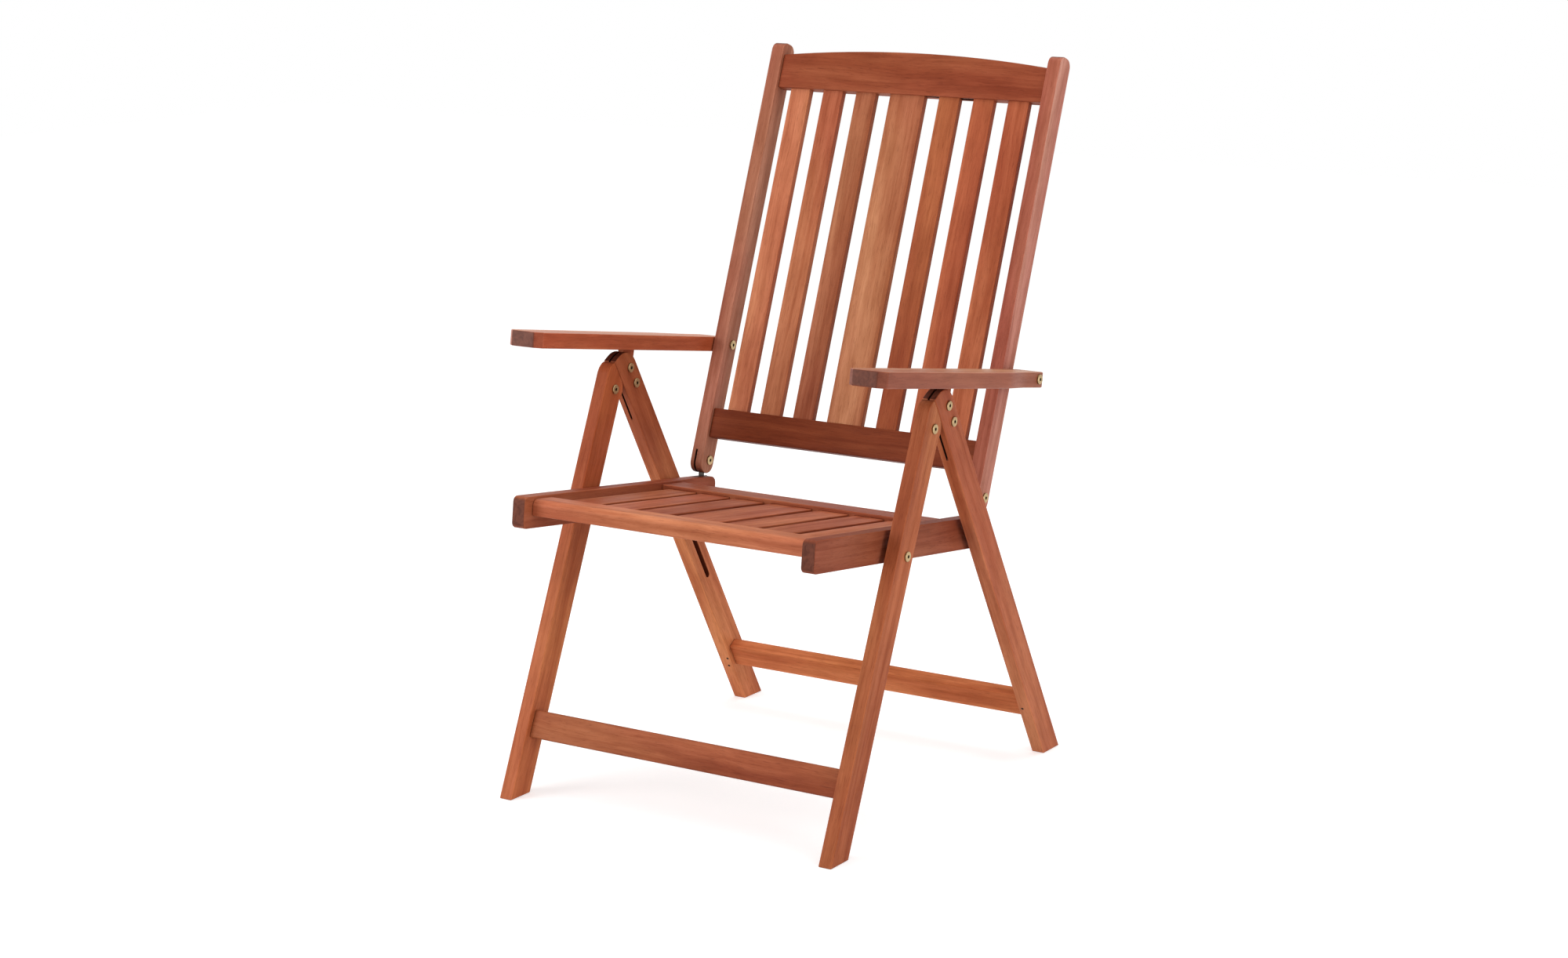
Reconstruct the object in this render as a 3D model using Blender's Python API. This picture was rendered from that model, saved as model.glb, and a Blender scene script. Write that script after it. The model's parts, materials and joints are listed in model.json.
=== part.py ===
# Folding garden chair in oiled hardwood with brass bolts, standing open.
# Metres, +Z up, ground at Z = 0. The front faces -Y and the sitter's left side is +X.
# The chair is the same on both sides of X = 0, so each side piece is built once per side.
# Points in side view are (y, z). Five frames give them, one for each member that tilts:
# "along" runs along the member, "across" is square to it.
import math

import bmesh
import bpy
from mathutils import Matrix, Vector
from mathutils.geometry import convex_hull_2d

# Clearances
GAP = 0.0003
BOLT_CLEARANCE = 0.0004
PLATE_CLEARANCE = 0.0003
CUT_PAST = 0.0050

# Stock
EASED_EDGE = 0.0016
TENON = 0.0100
MORTISE_EXTRA = 0.0008
TENON_SHOULDER = 0.0050

# Leg frame, side view
LEG_PIVOT = (-0.09280, 0.5800)
FRONT_LEG_LEAN = 23.127
REAR_LEG_LEAN = 30.315
LEG_INNER_X = 0.2685
LEG_OUTER_X = 0.2900
LEG_KERF_X = 0.2790
FRONT_LEG_FRONT = -0.0256
FRONT_LEG_REAR = 0.0183
FRONT_LEG_HEAD_RADIUS = 0.0260
FRONT_LEG_HEAD_CENTRE = (0.0178, 0.0004)
FRONT_LEG_HEAD_END = -37.67
FRONT_LEG_HEEL_RADIUS = 0.0216
REAR_LEG_FRONT = 0.02205
REAR_LEG_REAR = 0.06635
REAR_LEG_TOP = 0.0360
REAR_LEG_HEAD_RADIUS = 0.0320

# Kerfs, hinge plates and their bolts
PLATE_THICKNESS = 0.0026
LEG_PLATE_PIVOT_RADIUS = 0.0110
LEG_PLATE_BOLT_RADIUS = 0.0100
LEG_PLATE_BOLTS = ((0.0028, 0.0494), (-0.0271, 0.0494))
REAR_LEG_KERF = ((0.050, 0.015), (-0.088, 0.015), (-0.045, 0.0600), (0.050, 0.0600))
FRONT_LEG_KERF = ((-0.0250, -0.0140), (0.060, -0.0140), (0.060, 0.050), (-0.0250, 0.050))
BACK_PLATE_X = 0.2505
BACK_PLATE_NECK = 0.0060
BACK_PLATE_EYE = 0.0090
BACK_PLATE_TANG = ((0.2567, 0.0003), (0.2947, 0.0003), (0.2947, -0.0350))
BACK_PLATE_PINS = ((0.2645, -0.0167), (0.2870, -0.0167))
PIN_RADIUS = 0.0025

# Bolts
HEAD_RADIUS = 0.00735
HEAD_HEIGHT = 0.0022
HEAD_CHAMFER = 0.0005
SOCKET_RADIUS = 0.0029
SOCKET_DEPTH = 0.0014
HEAVY_SHANK = 0.0040
LIGHT_SHANK = 0.0030

# Stretchers
FRONT_STRETCHER_ALONG = (-0.5427, -0.5010)
FRONT_STRETCHER_ACROSS = (-0.0164, 0.0036)
REAR_STRETCHER_ALONG = (-0.6141, -0.5730)
REAR_STRETCHER_ACROSS = (0.0307, 0.0507)

# Seat, measured from its pivot on the front leg
SEAT_PIVOT_DOWN_LEG = 0.1873
SEAT_SLOPE = 6.8
RAIL_INNER_X = 0.2373
RAIL_OUTER_X = 0.2592
RAIL_ALONG = (-0.2021, 0.3030)
RAIL_ACROSS = (-0.0347, 0.0128)
RAIL_REAR_RADIUS = 0.0120
RAIL_FRONT_RADIUS = 0.0085
FRONT_CROSSPIECE_ALONG = (-0.1833, -0.1383)
REAR_CROSSPIECE_ALONG = (0.1503, 0.2077)
CROSSPIECE_ACROSS = (-0.0312, -0.0064)
CROSSPIECE_ROUND = 0.0100
SEAT_SLAT_ACROSS = (-0.0257, -0.0137)
SEAT_SLATS_X = (
    (-0.2230, -0.1725), (-0.1620, -0.1115), (-0.1005, -0.0490), (-0.0365, 0.0365),
    (0.0490, 0.1005), (0.1115, 0.1620), (0.1725, 0.2230),
)
SLAT_TENON = 0.0090
SLAT_POCKET = 0.0120
SPACER_RADIUS = 0.0080

# Slide pin of the seat and its groove in the rear leg
SLIDE_PIN_ON_SEAT = (0.2357, -0.0113)
SLIDE_PIN_RADIUS = 0.0040
GROOVE_ACROSS = 0.0447
GROOVE_RADIUS = 0.0050
GROOVE_ALONG = (-0.4247, -0.2442)
GROOVE_DEPTH = 0.0105

# Back, measured from its pivot above the seat rails
BACK_PIVOT_ON_SEAT = (0.2797, -0.0615)
BACK_LEAN = 20.563
STILE_ACROSS = (-0.0205, 0.0143)
STILE_FOOT = -0.0213
STILE_ABOVE_RAIL = 0.0068
STILE_TOP_RADIUS = 0.0135
STILE_FOOT_RADIUS = 0.0160
STILE_KERF = ((-0.0300, -0.0300), (0.0130, -0.0300), (0.0130, 0.0098), (-0.0060, 0.0098), (-0.0300, 0.0170))
BACK_RAIL_ACROSS = (-0.0152, 0.0050)
BOTTOM_RAIL_ALONG = (0.0354, 0.0823)
TOP_RAIL_FOOT = 0.6084
TOP_RAIL_HEIGHT = 0.0672
TOP_RAIL_ARC_RADIUS = 2.1700
BACK_SLAT_ACROSS = (-0.0118, 0.0002)
BACK_SLAT_WIDTH = 0.0362
BACK_WIDE_SLAT = 0.0622
BACK_SLAT_CENTRES = (-0.1960, -0.13545, -0.0749, 0.0, 0.0749, 0.13545, 0.1960)

# Armrests, measured from their pivot on the stiles
ARM_PIVOT_ON_BACK = (0.1879, 0.0007)
ARM_SLOPE = 8.8
ARM_ALONG = (-0.4824, 0.0199)
ARM_ACROSS = (-0.0107, 0.0127)
ARM_INNER_X = 0.2612
ARM_OUTER_X = 0.3222
ARM_NECK_X = 0.3120
ARM_CURVE = (-0.1186, -0.0356)
ARM_CHAMFER = 0.0110
ARM_REAR_RADIUS = 0.0120
WASHER_RADIUS = 0.0090

# Catch on the rear leg's head and its notches under the armrest
CATCH_HALF_WIDTH = 0.0040
CATCH_ALONG_ARM = -0.2335
CATCH_HALF_LENGTH = 0.0160
CATCH_SHOULDER = 0.0135
CATCH_CROWN_CENTRE = 0.0152
CATCH_CROWN_RADIUS = 0.0080
CATCH_ROOT = ((0.0050, 0.0707), (0.0050, 0.0640), (0.0155, 0.0605), (0.0155, 0.0431))
CATCH_SLOT = ((0.0512, 0.0641), (0.0152, 0.0427), (0.0152, 0.0602), (0.0047, 0.0637), (0.0047, 0.090),
              (0.0512, 0.090))
NOTCH_GROOVE_HALF_WIDTH = 0.0050
NOTCH_CEILING = 0.0087
NOTCH_DEPTH = 0.0020
NOTCH_RADIUS = 0.0240
NOTCH_PITCH = 0.0220
NOTCHES_BEHIND = 1
NOTCHES_AHEAD = 3
NOTCH_GROOVE_END = 0.0130

# Colours as linear RGB
WOOD = (0.235, 0.088, 0.045)
WOOD_LIGHT = (0.330, 0.150, 0.080)
BRASS = (0.560, 0.390, 0.160)
STEEL = (0.200, 0.190, 0.180)
DARK_STEEL = (0.090, 0.085, 0.080)


def frame(origin, degrees):
    """Return a function that turns (along, across) into a (y, z) point of the side view."""
    cos = math.cos(math.radians(degrees))
    sin = math.sin(math.radians(degrees))

    def at(along, across):
        return (origin[0] + along * cos + across * sin, origin[1] + along * sin - across * cos)

    return at


front_leg = frame(LEG_PIVOT, 90.0 - FRONT_LEG_LEAN)
rear_leg = frame(LEG_PIVOT, 90.0 + REAR_LEG_LEAN)
SEAT_PIVOT = front_leg(-SEAT_PIVOT_DOWN_LEG, 0.0)
seat = frame(SEAT_PIVOT, -SEAT_SLOPE)
BACK_PIVOT = seat(*BACK_PIVOT_ON_SEAT)
back = frame(BACK_PIVOT, 90.0 - BACK_LEAN)
ARM_PIVOT = back(*ARM_PIVOT_ON_BACK)
arm = frame(ARM_PIVOT, -ARM_SLOPE)


def arc(centre, radius, start, end, steps):
    """Points of an arc in (along, across), angles in degrees from the along direction."""
    points = []
    for step in range(steps + 1):
        angle = math.radians(start + (end - start) * step / steps)
        points.append((centre[0] + radius * math.cos(angle), centre[1] + radius * math.sin(angle)))
    return points


def rounded(corners, radii, steps=5):
    """Replace each corner of a polygon by an arc that touches both its sides."""
    outline = []
    count = len(corners)
    for index, radius in enumerate(radii):
        here = Vector(corners[index])
        if radius <= 0.0:
            outline.append(tuple(here))
            continue
        to_last = (Vector(corners[index - 1]) - here).normalized()
        to_next = (Vector(corners[(index + 1) % count]) - here).normalized()
        half = to_last.angle(to_next) / 2.0
        centre = here + (to_last + to_next).normalized() * radius / math.sin(half)
        first = here + to_last * radius / math.tan(half) - centre
        last = here + to_next * radius / math.tan(half) - centre
        turn = first.angle_signed(last)
        for step in range(steps + 1):
            outline.append(tuple(centre + Matrix.Rotation(-turn * step / steps, 2) @ first))
    return outline


def box_outline(along, across):
    return [(along[0], across[0]), (along[1], across[0]), (along[1], across[1]), (along[0], across[1])]


def sweep_solid(mesh, loop, offset):
    """Add one closed solid to a bmesh: a flat loop of points carried along an offset."""
    near = [mesh.verts.new(point) for point in loop]
    far = [mesh.verts.new(Vector(point) + offset) for point in loop]
    faces = [mesh.faces.new(near), mesh.faces.new(list(reversed(far)))]
    count = len(loop)
    for index in range(count):
        after = (index + 1) % count
        faces.append(mesh.faces.new((near[after], near[index], far[index], far[after])))
    bmesh.ops.recalc_face_normals(mesh, faces=faces)


def side_solid(mesh, at, outline, x_from, x_to):
    """Solid with an outline in side view, between two X planes."""
    loop = [Vector((x_from, *at(along, across))) for along, across in outline]
    sweep_solid(mesh, loop, Vector((x_to - x_from, 0.0, 0.0)))


def plan_solid(mesh, at, outline, across_from, across_to):
    """Solid with an outline in (along, x), carried across its frame."""
    loop = [Vector((x, *at(along, across_from))) for along, x in outline]
    start = Vector((0.0, *at(0.0, across_from)))
    end = Vector((0.0, *at(0.0, across_to)))
    sweep_solid(mesh, loop, end - start)


def turned_solid(mesh, centre, profile, segments=16):
    """Solid of revolution about an X line through a (y, z) point; profile is (x, radius)."""
    rings = []
    for x, radius in profile:
        ring = []
        for step in range(segments):
            angle = 2.0 * math.pi * step / segments
            point = (x, centre[0] + radius * math.cos(angle), centre[1] + radius * math.sin(angle))
            ring.append(mesh.verts.new(point))
        rings.append(ring)
    faces = [mesh.faces.new(rings[0]), mesh.faces.new(list(reversed(rings[-1])))]
    for first, second in zip(rings, rings[1:]):
        for step in range(segments):
            after = (step + 1) % segments
            faces.append(mesh.faces.new((first[step], first[after], second[after], second[step])))
    bmesh.ops.recalc_face_normals(mesh, faces=faces)


def ring_solid(mesh, centre, x_from, x_to, outer, inner, segments=16):
    """Ring about an X line: spacer or washer."""
    rings = []
    for x, radius in ((x_from, inner), (x_from, outer), (x_to, outer), (x_to, inner)):
        ring = []
        for step in range(segments):
            angle = 2.0 * math.pi * step / segments
            point = (x, centre[0] + radius * math.cos(angle), centre[1] + radius * math.sin(angle))
            ring.append(mesh.verts.new(point))
        rings.append(ring)
    faces = []
    for index, first in enumerate(rings):
        second = rings[(index + 1) % len(rings)]
        for step in range(segments):
            after = (step + 1) % segments
            faces.append(mesh.faces.new((first[step], first[after], second[after], second[step])))
    bmesh.ops.recalc_face_normals(mesh, faces=faces)


def hole(mesh, centre, x_from, x_to, radius):
    turned_solid(mesh, centre, ((x_from, radius), (x_to, radius)))


def material(name, colour, roughness, metallic):
    made = bpy.data.materials.new(name)
    made.use_nodes = True
    shader = made.node_tree.nodes["Principled BSDF"]
    shader.inputs["Base Color"].default_value = (*colour, 1.0)
    shader.inputs["Roughness"].default_value = roughness
    shader.inputs["Metallic"].default_value = metallic
    made.diffuse_color = (*colour, 1.0)
    return made


def axis_empty(name, point):
    """Empty on a joint's axis; the pieces that turn about it hang on it."""
    empty = bpy.data.objects.new(name, None)
    empty.location = (0.0, *point)
    empty.empty_display_size = 0.05
    bpy.context.scene.collection.objects.link(empty)
    return empty


def make_object(name, mesh, parent):
    """Turn a bmesh in world coordinates into an object that hangs on its axis empty."""
    data = bpy.data.meshes.new(name)
    if parent is not None:
        mesh.transform(Matrix.Translation(-parent.location))
    mesh.to_mesh(data)
    mesh.free()
    made = bpy.data.objects.new(name, data)
    made.parent = parent
    bpy.context.scene.collection.objects.link(made)
    return made


def smooth(piece, degrees=35.0):
    piece.data.shade_smooth()
    piece.data.set_sharp_from_angle(angle=math.radians(degrees))


def wooden(name, mesh, parent, colour=WOOD, edge=EASED_EDGE):
    """Wooden piece with eased edges."""
    piece = make_object(name, mesh, parent)
    piece.data.materials.append(material(name + "_wood", colour, 0.55, 0.0))
    smooth(piece)
    bevel = piece.modifiers.new("eased_edges", "BEVEL")
    bevel.width = edge
    bevel.segments = 2
    bevel.limit_method = "ANGLE"
    bevel.angle_limit = math.radians(40.0)
    bevel.use_clamp_overlap = False
    return piece


def metal(name, mesh, parent, colour, roughness):
    piece = make_object(name, mesh, parent)
    piece.data.materials.append(material(name + "_metal", colour, roughness, 1.0))
    smooth(piece)
    return piece


def cut(piece, mesh):
    """Subtract the closed solids of a bmesh in world coordinates from a piece."""
    cutter = make_object("cut_" + piece.name, mesh, piece.parent)
    cutter.hide_render = True
    cutter.display_type = "WIRE"
    boolean = piece.modifiers.new("cuts", "BOOLEAN")
    boolean.operation = "DIFFERENCE"
    boolean.use_self = True
    boolean.object = cutter


def kerf_range(side, centre_x):
    half = PLATE_THICKNESS / 2.0 + PLATE_CLEARANCE
    return side * (centre_x - half), side * (centre_x + half)


def tenon_outline(along, across, grow):
    inset = TENON_SHOULDER - grow
    return box_outline((along[0] + inset, along[1] - inset), (across[0] + inset, across[1] - inset))


def add_tenons(bar, at, along, across, half_length):
    """Join a stub tenon to both ends of a bar, from one core that runs through it."""
    mesh = bmesh.new()
    reach = half_length + TENON
    side_solid(mesh, at, tenon_outline(along, across, 0.0), -reach, reach)
    core = make_object("tenon_" + bar.name, mesh, bar.parent)
    core.hide_render = True
    core.display_type = "WIRE"
    union = bar.modifiers.new("tenons", "BOOLEAN")
    union.operation = "UNION"
    union.object = core


def crosspiece(name, at, along, across, half_length, parent, outline=None, colour=WOOD):
    """Bar across the chair with a stub tenon at both ends."""
    mesh = bmesh.new()
    side_solid(mesh, at, outline or box_outline(along, across), -half_length, half_length)
    bar = wooden(name, mesh, parent, colour)
    add_tenons(bar, at, along, across, half_length)
    return bar


def mortise(mesh, at, along, across, side, face_x):
    """Pocket for a stub tenon, sunk into a side piece from its inner face."""
    pocket = tenon_outline(along, across, GAP)
    side_solid(mesh, at, pocket, side * (face_x - CUT_PAST), side * (face_x + TENON + MORTISE_EXTRA))


def foot_line(lean, across, sign):
    """Where a leg's face meets the ground, as a distance along the leg."""
    degrees = 90.0 - sign * lean
    cos = math.cos(math.radians(degrees))
    sin = math.sin(math.radians(degrees))
    return (across * cos - LEG_PIVOT[1]) / sin


def build_front_leg(side, label, axis):
    heel_along = -math.sqrt(FRONT_LEG_HEEL_RADIUS ** 2 - FRONT_LEG_REAR ** 2)
    heel_start = math.degrees(math.atan2(FRONT_LEG_REAR, heel_along))
    heel_end = 90.0 - (FRONT_LEG_LEAN + REAR_LEG_LEAN)
    outline = [(foot_line(FRONT_LEG_LEAN, FRONT_LEG_REAR, 1), FRONT_LEG_REAR)]
    outline += arc((0.0, 0.0), FRONT_LEG_HEEL_RADIUS, heel_start, heel_end, 6)
    outline += arc(FRONT_LEG_HEAD_CENTRE, FRONT_LEG_HEAD_RADIUS, FRONT_LEG_HEAD_END, -90.0, 5)
    outline += [(foot_line(FRONT_LEG_LEAN, FRONT_LEG_FRONT, 1), FRONT_LEG_FRONT)]
    mesh = bmesh.new()
    side_solid(mesh, front_leg, outline, side * LEG_INNER_X, side * LEG_OUTER_X)
    leg = wooden("front_leg_" + label, mesh, axis)
    cuts = bmesh.new()
    side_solid(cuts, front_leg, FRONT_LEG_KERF, *kerf_range(side, LEG_KERF_X))
    ends = (side * (LEG_INNER_X - CUT_PAST), side * (LEG_OUTER_X + CUT_PAST))
    hole(cuts, LEG_PIVOT, *ends, HEAVY_SHANK + BOLT_CLEARANCE)
    hole(cuts, SEAT_PIVOT, *ends, HEAVY_SHANK + BOLT_CLEARANCE)
    mortise(cuts, front_leg, FRONT_STRETCHER_ALONG, FRONT_STRETCHER_ACROSS, side, LEG_INNER_X)
    cut(leg, cuts)


def build_rear_leg(side, label):
    outline = [
        (foot_line(REAR_LEG_LEAN, REAR_LEG_FRONT, -1), REAR_LEG_FRONT),
        (REAR_LEG_TOP, REAR_LEG_FRONT),
    ]
    head = (REAR_LEG_TOP - REAR_LEG_HEAD_RADIUS, REAR_LEG_REAR - REAR_LEG_HEAD_RADIUS)
    outline += arc(head, REAR_LEG_HEAD_RADIUS, 0.0, 90.0, 9)
    outline += [(foot_line(REAR_LEG_LEAN, REAR_LEG_REAR, -1), REAR_LEG_REAR)]
    mesh = bmesh.new()
    side_solid(mesh, rear_leg, outline, side * LEG_INNER_X, side * LEG_OUTER_X)
    leg = wooden("rear_leg_" + label, mesh, None)
    cuts = bmesh.new()
    side_solid(cuts, rear_leg, REAR_LEG_KERF, *kerf_range(side, LEG_KERF_X))
    for spot in LEG_PLATE_BOLTS:
        ends = (side * (LEG_INNER_X - CUT_PAST), side * (LEG_OUTER_X + CUT_PAST))
        hole(cuts, rear_leg(*spot), *ends, LIGHT_SHANK + BOLT_CLEARANCE)
    half = CATCH_HALF_WIDTH + GAP
    side_solid(cuts, rear_leg, CATCH_SLOT, side * (LEG_KERF_X - half), side * (LEG_KERF_X + half))
    mortise(cuts, rear_leg, REAR_STRETCHER_ALONG, REAR_STRETCHER_ACROSS, side, LEG_INNER_X)
    groove = arc((GROOVE_ALONG[1], GROOVE_ACROSS), GROOVE_RADIUS, -90.0, 90.0, 8)
    groove += arc((GROOVE_ALONG[0], GROOVE_ACROSS), GROOVE_RADIUS, 90.0, 270.0, 8)
    floor_x = LEG_INNER_X + GROOVE_DEPTH
    side_solid(cuts, rear_leg, groove, side * (LEG_INNER_X - CUT_PAST), side * floor_x)
    cut(leg, cuts)


def build_catch(side, label):
    """Catch that stands up from the rear leg's head into a notch of the armrest."""
    crown_start = math.asin((CATCH_CROWN_CENTRE - CATCH_SHOULDER) / CATCH_CROWN_RADIUS)
    start = 180.0 + math.degrees(crown_start)
    crown = arc((CATCH_ALONG_ARM, CATCH_CROWN_CENTRE), CATCH_CROWN_RADIUS, start, 540.0 - start, 8)
    points = [arm(CATCH_ALONG_ARM - CATCH_HALF_LENGTH, CATCH_SHOULDER)]
    points += [arm(*point) for point in crown]
    points += [arm(CATCH_ALONG_ARM + CATCH_HALF_LENGTH, CATCH_SHOULDER)]
    points += [rear_leg(*point) for point in CATCH_ROOT]
    mesh = bmesh.new()
    loop = [Vector((side * (LEG_KERF_X - CATCH_HALF_WIDTH), *point)) for point in points]
    sweep_solid(mesh, loop, Vector((side * 2.0 * CATCH_HALF_WIDTH, 0.0, 0.0)))
    wooden("armrest_catch_" + label, mesh, None, WOOD, 0.0004)


def build_leg_plate(side, label):
    """Steel plate between the legs: an eye on the pivot and two bolts in the rear leg."""
    cloud = arc((0.0, 0.0), LEG_PLATE_PIVOT_RADIUS, 0.0, 340.0, 17)
    for spot in LEG_PLATE_BOLTS:
        cloud += arc(spot, LEG_PLATE_BOLT_RADIUS, 0.0, 340.0, 17)
    outline = [cloud[index] for index in convex_hull_2d([Vector(point) for point in cloud])]
    half = PLATE_THICKNESS / 2.0
    mesh = bmesh.new()
    side_solid(mesh, rear_leg, outline, side * (LEG_KERF_X - half), side * (LEG_KERF_X + half))
    plate = metal("leg_hinge_plate_" + label, mesh, None, STEEL, 0.45)
    cuts = bmesh.new()
    ends = (side * (LEG_KERF_X - CUT_PAST), side * (LEG_KERF_X + CUT_PAST))
    hole(cuts, LEG_PIVOT, *ends, HEAVY_SHANK + BOLT_CLEARANCE)
    for spot in LEG_PLATE_BOLTS:
        hole(cuts, rear_leg(*spot), *ends, LIGHT_SHANK + BOLT_CLEARANCE)
    cut(plate, cuts)


def build_back_plate(side, label, axis):
    """Steel plate let into the seat rail, with a neck up to the back's pivot."""
    centre = BACK_PIVOT_ON_SEAT
    opening = math.degrees(math.asin(BACK_PLATE_NECK / BACK_PLATE_EYE))
    outline = list(BACK_PLATE_TANG)
    outline += [(centre[0] + BACK_PLATE_NECK, BACK_PLATE_TANG[2][1])]
    outline += arc(centre, BACK_PLATE_EYE, 90.0 - opening, -270.0 + opening, 14)
    outline += [(centre[0] - BACK_PLATE_NECK, BACK_PLATE_TANG[2][1])]
    outline += [(BACK_PLATE_TANG[0][0], BACK_PLATE_TANG[2][1])]
    half = PLATE_THICKNESS / 2.0
    mesh = bmesh.new()
    side_solid(mesh, seat, outline, side * (BACK_PLATE_X - half), side * (BACK_PLATE_X + half))
    plate = metal("back_hinge_plate_" + label, mesh, axis, DARK_STEEL, 0.5)
    cuts = bmesh.new()
    ends = (side * (BACK_PLATE_X - CUT_PAST), side * (BACK_PLATE_X + CUT_PAST))
    hole(cuts, BACK_PIVOT, *ends, LIGHT_SHANK + BOLT_CLEARANCE)
    for spot in BACK_PLATE_PINS:
        hole(cuts, seat(*spot), *ends, PIN_RADIUS + BOLT_CLEARANCE)
    cut(plate, cuts)


def bolt_solid(mesh, centre, face_in, face_out, shank, side):
    """Bolt and sleeve nut as one turned piece, flat heads on both faces."""
    inner = face_in - GAP
    outer = face_out + GAP
    profile = (
        (inner - HEAD_HEIGHT, HEAD_RADIUS - HEAD_CHAMFER),
        (inner - HEAD_HEIGHT + HEAD_CHAMFER, HEAD_RADIUS),
        (inner, HEAD_RADIUS),
        (inner, shank),
        (outer, shank),
        (outer, HEAD_RADIUS),
        (outer + HEAD_HEIGHT - HEAD_CHAMFER, HEAD_RADIUS),
        (outer + HEAD_HEIGHT, HEAD_RADIUS - HEAD_CHAMFER),
    )
    turned_solid(mesh, centre, [(side * x, radius) for x, radius in profile])


def socket_solid(mesh, centre, face_in, face_out, side):
    """Hexagon sockets in both heads of a bolt."""
    inner = face_in - GAP - HEAD_HEIGHT
    outer = face_out + GAP + HEAD_HEIGHT
    for tip, floor in ((inner, inner + SOCKET_DEPTH), (outer, outer - SOCKET_DEPTH)):
        outside = tip - CUT_PAST if tip < floor else tip + CUT_PAST
        profile = ((side * outside, SOCKET_RADIUS), (side * floor, SOCKET_RADIUS))
        turned_solid(mesh, centre, profile, 6)


def build_bolt(name, parent, side, centre, face_in, face_out, shank):
    mesh = bmesh.new()
    bolt_solid(mesh, centre, face_in, face_out, shank, side)
    bolt = metal(name, mesh, parent, BRASS, 0.35)
    sockets = bmesh.new()
    socket_solid(sockets, centre, face_in, face_out, side)
    cut(bolt, sockets)


def build_rail(side, label, axis):
    corners = box_outline(RAIL_ALONG, RAIL_ACROSS)
    radii = (RAIL_FRONT_RADIUS, RAIL_REAR_RADIUS, RAIL_FRONT_RADIUS, RAIL_FRONT_RADIUS)
    mesh = bmesh.new()
    side_solid(mesh, seat, rounded(corners, radii), side * RAIL_INNER_X, side * RAIL_OUTER_X)
    rail = wooden("seat_rail_" + label, mesh, axis)
    cuts = bmesh.new()
    ends = (side * (RAIL_INNER_X - CUT_PAST), side * (RAIL_OUTER_X + CUT_PAST))
    hole(cuts, SEAT_PIVOT, *ends, HEAVY_SHANK + BOLT_CLEARANCE)
    hole(cuts, seat(*SLIDE_PIN_ON_SEAT), *ends, SLIDE_PIN_RADIUS + BOLT_CLEARANCE)
    for spot in BACK_PLATE_PINS:
        hole(cuts, seat(*spot), *ends, PIN_RADIUS + BOLT_CLEARANCE)
    low = BACK_PLATE_TANG[0]
    high = BACK_PLATE_TANG[1]
    pocket = box_outline((low[0] - GAP, high[0] + GAP), (RAIL_ACROSS[0] - CUT_PAST, low[1] + GAP))
    side_solid(cuts, seat, pocket, *kerf_range(side, BACK_PLATE_X))
    for along in (FRONT_CROSSPIECE_ALONG, REAR_CROSSPIECE_ALONG):
        mortise(cuts, seat, along, CROSSPIECE_ACROSS, side, RAIL_INNER_X)
    cut(rail, cuts)


def slat_pocket(mesh, at, along, across, x_range):
    """Pocket for the end of a slat, with clearance all round."""
    grown = (across[0] - GAP, across[1] + GAP)
    side_solid(mesh, at, box_outline(along, grown), x_range[0] - GAP, x_range[1] + GAP)


def build_seat(axis):
    half_length = RAIL_INNER_X - GAP
    front_corners = box_outline(FRONT_CROSSPIECE_ALONG, CROSSPIECE_ACROSS)
    front_outline = rounded(front_corners, (CROSSPIECE_ROUND, 0.0, 0.0, 0.0))
    rear_corners = box_outline(REAR_CROSSPIECE_ALONG, CROSSPIECE_ACROSS)
    front = crosspiece("seat_front_crosspiece", seat, FRONT_CROSSPIECE_ALONG, CROSSPIECE_ACROSS,
                       half_length, axis, front_outline)
    rear = crosspiece("seat_rear_crosspiece", seat, REAR_CROSSPIECE_ALONG, CROSSPIECE_ACROSS,
                      half_length, axis, rear_corners)
    front_cuts = bmesh.new()
    rear_cuts = bmesh.new()
    start = FRONT_CROSSPIECE_ALONG[1] - SLAT_TENON
    end = REAR_CROSSPIECE_ALONG[0] + SLAT_TENON
    for number, x_range in enumerate(SEAT_SLATS_X, 1):
        slat_pocket(front_cuts, seat, (start - GAP, start + SLAT_POCKET), SEAT_SLAT_ACROSS, x_range)
        slat_pocket(rear_cuts, seat, (end - SLAT_POCKET, end + GAP), SEAT_SLAT_ACROSS, x_range)
        mesh = bmesh.new()
        side_solid(mesh, seat, box_outline((start, end), SEAT_SLAT_ACROSS), *x_range)
        wooden("seat_slat_%d" % number, mesh, axis)
    cut(front, front_cuts)
    cut(rear, rear_cuts)


def build_stile(side, label, axis):
    corners = box_outline((STILE_FOOT, TOP_RAIL_FOOT + TOP_RAIL_HEIGHT + STILE_ABOVE_RAIL), STILE_ACROSS)
    radii = (STILE_FOOT_RADIUS, STILE_TOP_RADIUS, STILE_TOP_RADIUS, STILE_FOOT_RADIUS)
    mesh = bmesh.new()
    side_solid(mesh, back, rounded(corners, radii, 7), side * RAIL_INNER_X, side * RAIL_OUTER_X)
    stile = wooden("back_stile_" + label, mesh, axis)
    cuts = bmesh.new()
    side_solid(cuts, back, STILE_KERF, *kerf_range(side, BACK_PLATE_X))
    ends = (side * (RAIL_INNER_X - CUT_PAST), side * (RAIL_OUTER_X + CUT_PAST))
    hole(cuts, BACK_PIVOT, *ends, LIGHT_SHANK + BOLT_CLEARANCE)
    hole(cuts, ARM_PIVOT, *ends, LIGHT_SHANK + BOLT_CLEARANCE)
    for along in (BOTTOM_RAIL_ALONG, (TOP_RAIL_FOOT, top_rail_end())):
        mortise(cuts, back, along, BACK_RAIL_ACROSS, side, RAIL_INNER_X)
    cut(stile, cuts)


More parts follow.
